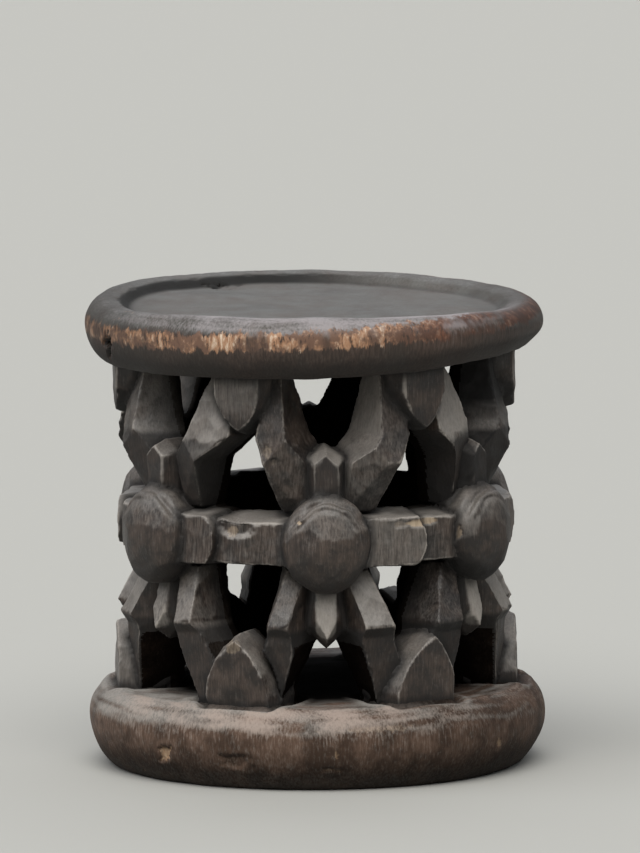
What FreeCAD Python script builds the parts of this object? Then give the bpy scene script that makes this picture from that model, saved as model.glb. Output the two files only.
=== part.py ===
import FreeCAD, Part
import math
import os

# Low stool carved from one log: a dished seat and a thick base joined by an openwork drum.
# The drum is a ring of stylised spiders. Each has a domed body, a head, a tail and six bent legs.
# The legs meet their neighbours' legs at pendants under the seat and on the base.
# Every carved element is its own solid, and it meets its neighbours face to face.
# Millimetres, +Z up, origin at the middle of the base's underside, front towards -Y.
# An azimuth is in degrees from the front, positive towards +X.

# Seat: a disc with a rounded edge and a shallow dish inside a raised rim.
# The insets run inwards from the widest line, the rim's crest and the rim's inner edge.
seat_diameter = 380.0
seat_thickness = 46.0
seat_edge_height = 28.0
seat_underside_inset = 15.0
rim_crest_inset = 16.0
rim_width = 13.0
rim_inner_drop = 2.0
dish_wall_width = 8.0
dish_depth = 9.0

# Base: a thick disc with a bulging edge and a flat foot.
base_diameter = 379.0
base_thickness = 68.0
base_edge_height = 42.0
base_foot_inset = 19.5
base_top_inset = 16.5

# Drum: how far the seat overhangs its knees, the thickness it is hollowed to, its height,
# how far above the base the spiders' bodies are centred and where its elements stand.
# Each pendant follows the spider of the same place in the list. The spacing is by eye.
seat_overhang = 23.0
drum_wall = 49.0
openwork_height = 274.0
spider_rise = 135.0
spider_azimuths = [3.0, 58.0, 122.0, 182.0, 239.0, 304.0]
pendant_azimuths = [33.0, 90.0, 151.0, 213.0, 274.0, 337.0]

# Depths run inwards from the drum's radius, to which the knees reach.
drum_radius = seat_diameter / 2 - seat_overhang
hollow_radius = drum_radius - drum_wall
seat_underside = base_thickness + openwork_height
spider_height = base_thickness + spider_rise

# Spider's body: a low crown inside a rounded shoulder, on a tapered stub.
body_width = 71.0
body_height = 82.0
body_shoulder_depth = 13.0
body_crown_width = 46.0
body_crown_edge_rise = 22.0
body_crown_rise = 28.0
body_stub_width = 52.0

# Head and tail: small pointed blocks above and below the body.
# A face leans by how much deeper it lies at the body than at its point.
head_length = 38.0
head_point = 9.0
head_width = 30.0
head_face_width = 21.0
head_face_setback = 5.0
head_face_lean = 0.0
tail_length = 48.0
tail_point = 16.0
tail_width = 33.0
tail_face_width = 17.0
tail_face_setback = 10.0
tail_face_lean = 14.0
block_face_depth = 6.0
block_bevel_depth = 14.0

# Upper and lower legs: wedge-shaped beams with a knee that stands out to the drum's radius.
# An upper leg widens above its strut, and a lower leg is undercut below its knee.
# A flank opens inwards by its slope, from the root to the end.
leg_root_rise = 24.0
leg_root_depth = 22.0
upper_strut_drop = 73.0
upper_knee_drop = 51.0
upper_knee_depth = 6.0
upper_end_depth = 24.0
upper_window_slopes = [0.40, 0.34, 0.28, -0.05]
upper_pendant_slopes = [0.30, 0.20, 0.12, 0.30]
lower_knee_rise = 65.0
lower_undercut_height = 9.0
lower_undercut_depth = 6.0
lower_end_depth = 14.0
lower_window_slopes = [0.40, 0.28, 0.28, -0.05]
lower_pendant_slopes = [0.30, 0.12, 0.12, 0.30]

# A leg's edges on the side of the window and of the pendant, from the root to the end.
# Each is a share of the way from the spider's centre line to the pendant's.
# The carver cut every leg by eye, so those that differ from the usual ones are given apart.
usual_upper_edges = [(0.20, 0.48), (0.30, 0.58), (0.43, 0.84), (0.60, 0.82)]
upper_edges = {
    (1, "left"): [(0.23, 0.53), (0.35, 0.70), (0.46, 0.80), (0.54, 0.60)],
    (1, "right"): [(0.20, 0.55), (0.36, 0.73), (0.56, 0.86), (0.62, 0.86)],
    (2, "left"): [(0.15, 0.42), (0.19, 0.51), (0.27, 0.80), (0.52, 0.78)],
    (6, "right"): [(0.25, 0.45), (0.31, 0.57), (0.43, 0.90), (0.68, 0.90)],
}
usual_lower_edges = [(0.10, 0.48), (0.31, 0.67), (0.34, 0.68), (0.58, 0.95)]
lower_edges = {
    (2, "left"): [(0.10, 0.52), (0.34, 0.84), (0.37, 0.86), (0.58, 0.95)],
    (6, "right"): [(0.05, 0.43), (0.25, 0.53), (0.28, 0.60), (0.57, 0.95)],
}

# Side legs: bars at mid height, where a rounded tip laps over the neighbour's sunk leg.
# A tip's share is its reach along the way to the pendant's line, one for each spider.
bar_height = 40.0
bar_face_depth = 6.0
bar_flank_slope = 0.10
tip_shares = [1.02, 0.9, 0.9, 0.9, 0.9, 0.72]
tip_bulge = 8.0
lap_depth = 8.0
lap_ramp = 28.0
lap_margin = 2.0

# Pendants: blocks with a pointed arch that hang from the seat and stand on the base.
# The sides are upright up to the spring of the arch, and the point leans to the right.
seat_pendant_drop = 51.0
seat_pendant_spring = 16.0
seat_pendant_width = 50.0
seat_pendant_lean = 2.0
seat_pendant_bulge = 4.0
seat_pendant_face_depth = 1.0
base_pendant_rise = 59.0
base_pendant_spring = 8.0
base_pendant_width = 66.0
base_pendant_lean = 9.0
base_pendant_bulge = 6.0
base_pendant_face_depth = 0.5
pendant_bevel_depth = 16.0
pendant_face_setback = 5.0

# Spare length that an element has inside its neighbour before it is trimmed to it.
embed = 12.0


def radial(azimuth):
    angle = math.radians(azimuth)
    return FreeCAD.Vector(math.sin(angle), -math.cos(angle), 0)


def sideways(azimuth):
    angle = math.radians(azimuth)
    return FreeCAD.Vector(math.cos(angle), math.sin(angle), 0)


def at(azimuth, radius, side, height):
    """The point at a radius, an offset to the right as seen from outside, and a height."""
    return radial(azimuth) * radius + sideways(azimuth) * side + FreeCAD.Vector(0, 0, height)


def polygon(points):
    return Part.makePolygon(points + points[:1])


def ruled_solid(sections):
    return Part.makeLoft(sections, True, True)


def profile_point(radius, height):
    """A point of a turned profile, drawn in the first spider's plane where nothing meets a disc."""
    return at(spider_azimuths[0], radius, 0, height)


def arc_from_vertical(widest, end):
    """The arc between two points, each a radius and a height, that is upright at the widest."""
    run = widest[0] - end[0]
    rise = end[1] - widest[1]
    arc_radius = (run * run + rise * rise) / (2 * run)
    turn = math.atan2(rise, arc_radius - run) / 2
    middle_radius = widest[0] - arc_radius + arc_radius * math.cos(turn)
    middle = profile_point(middle_radius, widest[1] + arc_radius * math.sin(turn))
    return Part.Arc(profile_point(*widest), middle, profile_point(*end)).toShape()


def turned(edges):
    """The solid that a closed profile beside the axis makes when it is turned about Z."""
    face = Part.Face(Part.Wire(edges))
    return face.revolve(FreeCAD.Vector(0, 0, 0), FreeCAD.Vector(0, 0, 1), 360)


def straight(points):
    return [Part.makeLine(a, b) for a, b in zip(points, points[1:])]


def seat():
    top = seat_underside + seat_thickness
    widest_radius = seat_diameter / 2
    underside = (widest_radius - seat_underside_inset, seat_underside)
    widest = (widest_radius, seat_underside + seat_edge_height)
    crest = (widest_radius - rim_crest_inset, top)
    rim_inner_radius = crest[0] - rim_width
    rim_inner = profile_point(rim_inner_radius, top - rim_inner_drop)
    floor_edge = profile_point(rim_inner_radius - dish_wall_width, top - dish_depth)
    floor_centre = profile_point(0, top - dish_depth)
    centre_below = profile_point(0, seat_underside)
    edges = straight([centre_below, profile_point(*underside)])
    edges.append(arc_from_vertical(widest, underside))
    edges.append(arc_from_vertical(widest, crest))
    edges += straight([profile_point(*crest), rim_inner, floor_edge, floor_centre, centre_below])
    return turned(edges)


def base():
    widest_radius = base_diameter / 2
    foot = (widest_radius - base_foot_inset, 0)
    widest = (widest_radius, base_edge_height)
    top_edge = (widest_radius - base_top_inset, base_thickness)
    top_centre = profile_point(0, base_thickness)
    centre_below = profile_point(0, 0)
    edges = straight([centre_below, profile_point(*foot)])
    edges.append(arc_from_vertical(widest, foot))
    edges.append(arc_from_vertical(widest, top_edge))
    edges += straight([profile_point(*top_edge), top_centre, centre_below])
    return turned(edges)


def body(azimuth):
    """A crown and its shoulder on a stub that tapers inwards, taller than it is wide."""
    shoulder_radius = drum_radius - body_shoulder_depth

    def point(radius, half_width):
        return at(azimuth, radius, half_width, spider_height)

    shoulder = point(shoulder_radius, body_width / 2)
    crown_edge = point(shoulder_radius + body_crown_edge_rise, body_crown_width / 2)
    tip = point(shoulder_radius + body_crown_rise, 0)
    shoulder_run = (body_width - body_crown_width) / 2
    swell = math.sqrt(0.5)
    shoulder_middle = point(
        shoulder_radius + body_crown_edge_rise * swell,
        body_width / 2 - shoulder_run * (1 - swell),
    )
    crown_rise = body_crown_rise - body_crown_edge_rise
    crown_middle = point(shoulder_radius + body_crown_edge_rise + 0.75 * crown_rise, body_crown_width / 4)
    stub = [point(hollow_radius, 0), point(hollow_radius, body_stub_width / 2), shoulder]
    edges = straight(stub)
    edges.append(Part.Arc(shoulder, shoulder_middle, crown_edge).toShape())
    edges.append(Part.Arc(crown_edge, crown_middle, tip).toShape())
    edges += straight([tip, stub[0]])
    round_body = Part.Face(Part.Wire(edges)).revolve(stub[0], radial(azimuth), 360)
    stretch = FreeCAD.Matrix()
    stretch.move(FreeCAD.Vector(0, 0, -spider_height))
    stretch.scale(1, 1, body_height / body_width)
    stretch.move(FreeCAD.Vector(0, 0, spider_height))
    return round_body.transformGeometry(stretch)


def pointed_block(azimuth, root, tip, point, widths, face_setback, face_lean):
    """A five-sided block from root height to tip height, whose outer face is set in and leans."""
    width, face_width = widths
    face_radius = drum_radius - block_face_depth
    towards = 1 if tip > root else -1

    def outline(radius, half_width, reach, lean):
        corner = reach - towards * point
        root_radius = radius - lean
        corner_radius = radius - lean * point / abs(reach - root)
        return polygon([
            at(azimuth, root_radius, -half_width, root),
            at(azimuth, root_radius, half_width, root),
            at(azimuth, corner_radius, half_width, corner),
            at(azimuth, radius, 0, reach),
            at(azimuth, corner_radius, -half_width, corner),
        ])

    return ruled_solid([
        outline(hollow_radius, width / 2, tip, 0),
        outline(face_radius - block_bevel_depth, width / 2, tip, face_lean),
        outline(face_radius, face_width / 2, tip - towards * face_setback, face_lean),
    ])


def head(azimuth):
    root = spider_height + body_height / 2 - embed
    tip = spider_height + body_height / 2 + head_length
    widths = (head_width, head_face_width)
    return pointed_block(azimuth, root, tip, head_point, widths, head_face_setback, head_face_lean)


def tail(azimuth):
    root = spider_height - body_height / 2 + embed
    tip = spider_height - body_height / 2 - tail_length
    widths = (tail_width, tail_face_width)
    return pointed_block(azimuth, root, tip, tail_point, widths, tail_face_setback, tail_face_lean)


def arched_block(azimuth, root, spring, tip, half_width, lean, bulge, face_radius):
    """A block with a pointed arch from root height to tip height, whose outer face is set in."""
    towards = 1 if tip > root else -1

    def outline(radius, inset):
        def point(side, height):
            return at(azimuth, radius, side, height)

        def arch_side(side):
            run = lean - side
            rise = tip - towards * inset - spring
            chord = math.hypot(run, rise)
            middle_side = side + run / 2 - abs(rise) / chord * math.copysign(bulge, lean - side)
            middle_height = spring + rise / 2 + towards * abs(run) / chord * bulge
            return Part.Arc(point(side, spring), point(middle_side, middle_height), peak).toShape()

        half = half_width - inset
        peak = point(lean, tip - towards * inset)
        foot = straight([point(-half, spring), point(-half, root), point(half, root), point(half, spring)])
        return Part.Wire(foot + [arch_side(half), arch_side(-half)])

    return ruled_solid([
        outline(hollow_radius, 0),
        outline(face_radius - pendant_bevel_depth, 0),
        outline(face_radius, pendant_face_setback),
    ])


def seat_pendant(azimuth):
    return arched_block(
        azimuth,
        seat_underside + embed,
        seat_underside - seat_pendant_spring,
        seat_underside - seat_pendant_drop,
        seat_pendant_width / 2,
        seat_pendant_lean,
        seat_pendant_bulge,
        drum_radius - seat_pendant_face_depth,
    )


def base_pendant(azimuth):
    return arched_block(
        azimuth,
        base_thickness - embed,
        base_thickness + base_pendant_spring,
        base_thickness + base_pendant_rise,
        base_pendant_width / 2,
        base_pendant_lean,
        base_pendant_bulge,
        drum_radius - base_pendant_face_depth,
    )


def bent_leg(azimuth, gap, heights, depths, edges, window_slopes, pendant_slopes):
    """A beam through level sections from its root in the body to its end in a disc.

    The gap is the turn from the spider to the pendant, negative to the left.
    """
    frame_share = sum(edges[-2]) / 2
    frame_azimuth = azimuth + gap * frame_share
    outwards = math.copysign(1, gap)
    sections = []
    for i, height in enumerate(heights):
        radius = drum_radius - depths[i]
        turns = [math.radians(gap * (share - frame_share)) for share in edges[i]]
        window, pendant = [(radius * math.cos(turn), radius * math.sin(turn)) for turn in turns]
        window_flare = outwards * window_slopes[i] * (window[0] - hollow_radius)
        pendant_flare = outwards * pendant_slopes[i] * (pendant[0] - hollow_radius)
        corners = [
            window,
            pendant,
            (hollow_radius, pendant[1] + pendant_flare),
            (hollow_radius, window[1] - window_flare),
        ]
        sections.append(polygon([at(frame_azimuth, reach, side, height) for reach, side in corners]))
    return ruled_solid(sections)


def upper_leg(azimuth, gap, edges):
    heights = [
        spider_height + leg_root_rise,
        seat_underside - upper_strut_drop,
        seat_underside - upper_knee_drop,
        seat_underside + embed,
    ]
    depths = [leg_root_depth, 0, upper_knee_depth, upper_end_depth]
    return bent_leg(azimuth, gap, heights, depths, edges, upper_window_slopes, upper_pendant_slopes)


def lower_leg(azimuth, gap, edges):
    knee_height = base_thickness + lower_knee_rise
    heights = [
        spider_height - leg_root_rise,
        knee_height,
        knee_height - lower_undercut_height,
        base_thickness - embed,
    ]
    depths = [leg_root_depth, 0, lower_undercut_depth, lower_end_depth]
    return bent_leg(azimuth, gap, heights, depths, edges, lower_window_slopes, lower_pendant_slopes)


def side_leg_with_tip(azimuth, gap, tip_share):
    """The bar to the right of a body, which ends in a rounded tip."""
    frame_azimuth = azimuth + gap / 2
    face_radius = drum_radius - bar_face_depth
    reach = face_radius * math.tan(math.radians(gap / 2))
    tip_end = reach * (2 * tip_share - 1)

    def outline(radius, half_height):
        def point(side, height):
            return at(frame_azimuth, radius, side, spider_height + height)

        upper = point(tip_end - tip_bulge, half_height)
        lower = point(tip_end - tip_bulge, -half_height)
        rounded = Part.Arc(upper, point(tip_end, 0), lower).toShape()
        rest = [lower, point(-reach, -half_height), point(-reach, half_height), upper]
        return Part.Wire([rounded] + straight(rest))

    half_back = bar_height / 2 + bar_flank_slope * (face_radius - hollow_radius)
    return ruled_solid([outline(hollow_radius, half_back), outline(face_radius, bar_height / 2)])


def side_leg_under_tip(azimuth, left_gap, neighbour_gap, tip_share):
    """The bar to the left of a body. It sinks where the neighbour's rounded tip laps it."""
    face_radius = drum_radius - bar_face_depth
    pendant = azimuth - left_gap
    tip = pendant - neighbour_gap * (1 - tip_share)
    ramp_end = tip + math.degrees(lap_ramp / face_radius)
    hidden_end = tip - math.degrees((tip_bulge + embed) / face_radius)

    def face(station):
        middle = pendant + left_gap / 2 if station >= pendant else pendant - neighbour_gap / 2
        return face_radius / math.cos(math.radians(station - middle))

    def section(station, sink):
        radius = face(station) - sink
        half_face = bar_height / 2 - lap_margin
        half_back = half_face + bar_flank_slope * (radius - hollow_radius)
        return polygon([
            at(station, radius, 0, spider_height - half_face),
            at(station, radius, 0, spider_height + half_face),
            at(station, hollow_radius, 0, spider_height + half_back),
            at(station, hollow_radius, 0, spider_height - half_back),
        ])

    sections = [section(hidden_end, lap_depth), section(tip, lap_depth), section(ramp_end, 0)]
    if ramp_end < pendant:
        sections.append(section(pendant, 0))
    sections.append(section(azimuth, 0))
    return ruled_solid(sections)


def sector(start_azimuth, end_azimuth):
    """A wedge about the axis, wide enough to hold every carved element between two azimuths."""
    reach = seat_diameter
    corners = [
        at(0, 0, 0, 0),
        at(start_azimuth, reach, 0, 0),
        at(end_azimuth, reach, 0, 0),
    ]
    height = seat_underside + seat_thickness
    return Part.Face(polygon(corners)).extrude(FreeCAD.Vector(0, 0, height))


def trimmed(shape, neighbours):
    return shape.cut(neighbours)


def stool():
    """Every node's solids by name. What carries an element trims it, so they share a face."""
    nodes = {"seat": [seat()], "base": [base()]}
    discs = nodes["seat"] + nodes["base"]
    spiders = list(zip(spider_azimuths, pendant_azimuths))
    right_gaps = [(pendant - azimuth) % 360 for azimuth, pendant in spiders]
    left_gaps = [(azimuth - pendant_azimuths[i - 1]) % 360 for i, azimuth in enumerate(spider_azimuths)]
    bodies = [body(azimuth) for azimuth in spider_azimuths]
    seat_pendants = [trimmed(seat_pendant(azimuth), discs) for azimuth in pendant_azimuths]
    base_pendants = [trimmed(base_pendant(azimuth), discs) for azimuth in pendant_azimuths]
    tips = [
        trimmed(side_leg_with_tip(azimuth, right_gaps[i], tip_shares[i]), [bodies[i]])
        for i, azimuth in enumerate(spider_azimuths)
    ]
    for index, azimuth in enumerate(spider_azimuths):
        name = f"spider_{index + 1}"
        right_gap = right_gaps[index]
        left_gap = left_gaps[index]
        this_body = bodies[index]
        left_bar = side_leg_under_tip(azimuth, left_gap, right_gaps[index - 1], tip_shares[index - 1])
        left_bar = trimmed(left_bar, [this_body, tips[index - 1]])
        bars = [tips[index], left_bar]
        this_head = trimmed(head(azimuth), [this_body])
        this_tail = trimmed(tail(azimuth), [this_body])
        blocks = [this_head, this_tail]
        pendants = [seat_pendants[index], seat_pendants[index - 1]]
        pendants += [base_pendants[index], base_pendants[index - 1]]
        carriers = discs + [this_body] + bars + blocks + pendants
        right_half = sector(azimuth, azimuth + right_gap)
        left_half = sector(azimuth - left_gap, azimuth)
        legs = {}
        for side, gap, half in (("left", -left_gap, left_half), ("right", right_gap, right_half)):
            upper = upper_edges.get((index + 1, side), usual_upper_edges)
            lower = lower_edges.get((index + 1, side), usual_lower_edges)
            legs[f"upper_{side}_leg"] = upper_leg(azimuth, gap, upper).common(half)
            legs[f"lower_{side}_leg"] = lower_leg(azimuth, gap, lower).common(half)
        nodes[f"{name}_body"] = [this_body]
        nodes[f"{name}_head"] = [this_head]
        nodes[f"{name}_tail"] = [this_tail]
        nodes[f"{name}_left_side_leg"] = [left_bar]
        nodes[f"{name}_right_side_leg"] = [tips[index]]
        for leg_name, leg in legs.items():
            nodes[f"{name}_{leg_name}"] = [trimmed(leg, carriers)]
    nodes["seat_pendants"] = seat_pendants
    nodes["base_pendants"] = base_pendants
    return nodes


def main():
    os.makedirs("parts", exist_ok=True)
    for name, shapes in stool().items():
        solids = [solid for shape in shapes for solid in shape.Solids]
        Part.makeCompound(solids).exportStep(f"parts/{name}.step")
        volume = sum(solid.Volume for solid in solids) / 1000
        print(f"{name}: {len(solids)} solid(s), {volume:.1f} cm3, valid {all(s.isValid() for s in solids)}")


main()
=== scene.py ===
import math
import bmesh
import bpy
import numpy as np
from mathutils import Matrix, Vector, noise
from mathutils.bvhtree import BVHTree


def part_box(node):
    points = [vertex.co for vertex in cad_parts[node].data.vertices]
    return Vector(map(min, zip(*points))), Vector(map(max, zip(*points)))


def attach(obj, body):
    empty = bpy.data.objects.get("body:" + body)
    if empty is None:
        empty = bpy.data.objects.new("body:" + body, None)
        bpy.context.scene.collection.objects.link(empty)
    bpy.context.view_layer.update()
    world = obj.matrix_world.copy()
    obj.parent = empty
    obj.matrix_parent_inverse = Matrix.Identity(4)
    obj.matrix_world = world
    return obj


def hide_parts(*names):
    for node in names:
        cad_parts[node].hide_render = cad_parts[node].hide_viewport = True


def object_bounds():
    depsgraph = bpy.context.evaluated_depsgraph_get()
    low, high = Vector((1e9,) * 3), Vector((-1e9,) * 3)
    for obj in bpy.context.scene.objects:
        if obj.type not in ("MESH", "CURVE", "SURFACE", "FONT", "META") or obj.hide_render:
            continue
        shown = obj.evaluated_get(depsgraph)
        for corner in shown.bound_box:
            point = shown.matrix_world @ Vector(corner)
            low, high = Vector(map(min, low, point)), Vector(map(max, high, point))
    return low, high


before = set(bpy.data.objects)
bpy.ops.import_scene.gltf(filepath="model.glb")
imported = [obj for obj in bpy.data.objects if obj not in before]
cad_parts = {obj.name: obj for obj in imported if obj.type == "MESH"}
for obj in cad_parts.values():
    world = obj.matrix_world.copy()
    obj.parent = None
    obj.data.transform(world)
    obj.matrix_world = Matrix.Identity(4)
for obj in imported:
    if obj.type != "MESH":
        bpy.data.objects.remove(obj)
cadBox = [list(corner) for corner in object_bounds()]
scene = bpy.context.scene
scene.view_settings.view_transform = "Standard"
spiderCount = 6
print("frame:", len(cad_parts), "nodes")


def mm(length):
    return length / 1000


def linear(hexColour):
    parts = [int(hexColour[i:i + 2], 16) / 255 for i in (1, 3, 5)]
    return [c / 12.92 if c <= 0.04045 else ((c + 0.055) / 1.055) ** 2.4 for c in parts] + [1.0]


# Camera: far away with a long lens, a little above the seat, level but for a slight lean
photoView = {
    "longSide": 853,        # pixels
    "focal": 19277,         # pixels
    "sensor": 36.0,         # millimetres on the long side
    "distance": 16.0,       # metres
    "elevation": 7.8,       # degrees
    "lean": -0.4,           # degrees
    "aim": Vector((0.0042, 0.0, 0.279)),
}


def placeCamera(view):
    data = bpy.data.cameras.new("photo_camera")
    data.sensor_width = view["sensor"]
    data.lens = view["focal"] / view["longSide"] * view["sensor"]
    data.clip_end = 4 * view["distance"]
    tilt = Matrix.Rotation(math.radians(90 - view["elevation"]), 4, "X")
    turn = tilt @ Matrix.Rotation(math.radians(view["lean"]), 4, "Z")
    camera = bpy.data.objects.new("photo_camera", data)
    scene.collection.objects.link(camera)
    back = turn.to_3x3() @ Vector((0, 0, view["distance"]))
    camera.matrix_world = Matrix.Translation(view["aim"] + back) @ turn
    scene.camera = camera


placeCamera(photoView)
print("camera placed")


# One node with its settings and what its inputs take: a plain value or another node's output
def addNode(tree, kind, inputs=None, **settings):
    made = tree.nodes.new("ShaderNode" + kind)
    for key, value in settings.items():
        setattr(made, key, value)
    for socket, value in (inputs or {}).items():
        if isinstance(value, bpy.types.NodeSocket):
            tree.links.new(value, made.inputs[socket])
        else:
            made.inputs[socket].default_value = value
    return made


def newMaterial(name):
    material = bpy.data.materials.new(name)
    material.use_nodes = True
    material.node_tree.nodes.clear()
    return material, material.node_tree


# Floor and light: a pale matt floor under a broad soft light from above the front, weaker at the sides
floorLook = {"radius": 14.0, "sides": 96, "colour": "#b3b2ac", "roughness": 0.9}
skyLook = {"backdrop": "#d9d9d5", "light": "#e8ecef",
           "low": 0.10, "high": 0.55, "lowAt": -0.05, "highAt": 0.9}   # strength at the horizon and above
lamps = {  # azimuth from the front towards the right and elevation in degrees, spread is the lamp's width
    "front_lamp": {"azimuth": -8, "elevation": 57, "spread": 50, "strength": 2.2, "colour": "#fdfbf8"},
    "left_lamp": {"azimuth": -80, "elevation": 36, "spread": 50, "strength": 0.8, "colour": "#f7f9ff"},
    "right_lamp": {"azimuth": 80, "elevation": 36, "spread": 50, "strength": 0.18, "colour": "#f7f9ff"},
    "back_lamp": {"azimuth": 176, "elevation": 48, "spread": 60, "strength": 0.6, "colour": "#f6f8ff"},
}


def layFloor(look):
    form = bmesh.new()
    bmesh.ops.create_circle(form, cap_ends=True, segments=look["sides"], radius=look["radius"])
    mesh = bpy.data.meshes.new("floor")
    form.to_mesh(mesh)
    form.free()
    floor = bpy.data.objects.new("floor", mesh)
    scene.collection.objects.link(floor)
    material, tree = newMaterial("matt_floor_paint")
    shader = addNode(tree, "BsdfPrincipled", {
        "Base Color": linear(look["colour"]), "Roughness": look["roughness"]})
    addNode(tree, "OutputMaterial", {"Surface": shader.outputs[0]})
    mesh.materials.append(material)


def hangLamps(allLamps, sky):
    for name, look in allLamps.items():
        data = bpy.data.lights.new(name, "SUN")
        data.angle = math.radians(look["spread"])
        data.energy = look["strength"]
        data.color = linear(look["colour"])[:3]
        lamp = bpy.data.objects.new(name, data)
        turn = Matrix.Rotation(math.radians(look["azimuth"]), 4, "Z")
        tilt = Matrix.Rotation(math.radians(90 - look["elevation"]), 4, "X")
        lamp.matrix_world = turn @ tilt
        scene.collection.objects.link(lamp)
    world = bpy.data.worlds.new("studio")
    world.use_nodes = True
    tree = world.node_tree
    tree.nodes.clear()
    # The light falls off towards the horizon, and the backdrop behind the object stays even
    up = addNode(tree, "SeparateXYZ", {0: addNode(tree, "TexCoord").outputs["Generated"]}).outputs[2]
    strength = addNode(tree, "MapRange", {
        "Value": up, "From Min": sky["lowAt"], "From Max": sky["highAt"],
        "To Min": sky["low"], "To Max": sky["high"]}).outputs[0]
    light = addNode(tree, "Background", {"Color": linear(sky["light"]), "Strength": strength}).outputs[0]
    backdrop = addNode(tree, "Background", {"Color": linear(sky["backdrop"]), "Strength": 1.0}).outputs[0]
    seen = addNode(tree, "LightPath").outputs["Is Camera Ray"]
    both = addNode(tree, "MixShader", {0: seen, 1: light, 2: backdrop}).outputs[0]
    addNode(tree, "OutputWorld", {"Surface": both})
    scene.world = world


layFloor(floorLook)
hangLamps(lamps, skyLook)
print("floor and lamps placed")


# Between which values each noise or field starts to show and shows in full
maskRange = {"patch": (0.35, 0.65), "fibre": (0.34, 0.62), "scratch": (0.5, 1.0), "dust": (0.05, 1.1),
             "wear": (0.2, 1.0), "bare": (0.15, 0.8), "satin": (0.3, 0.7)}
speckShare, bareBreak = 0.5, 0.5


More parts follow.
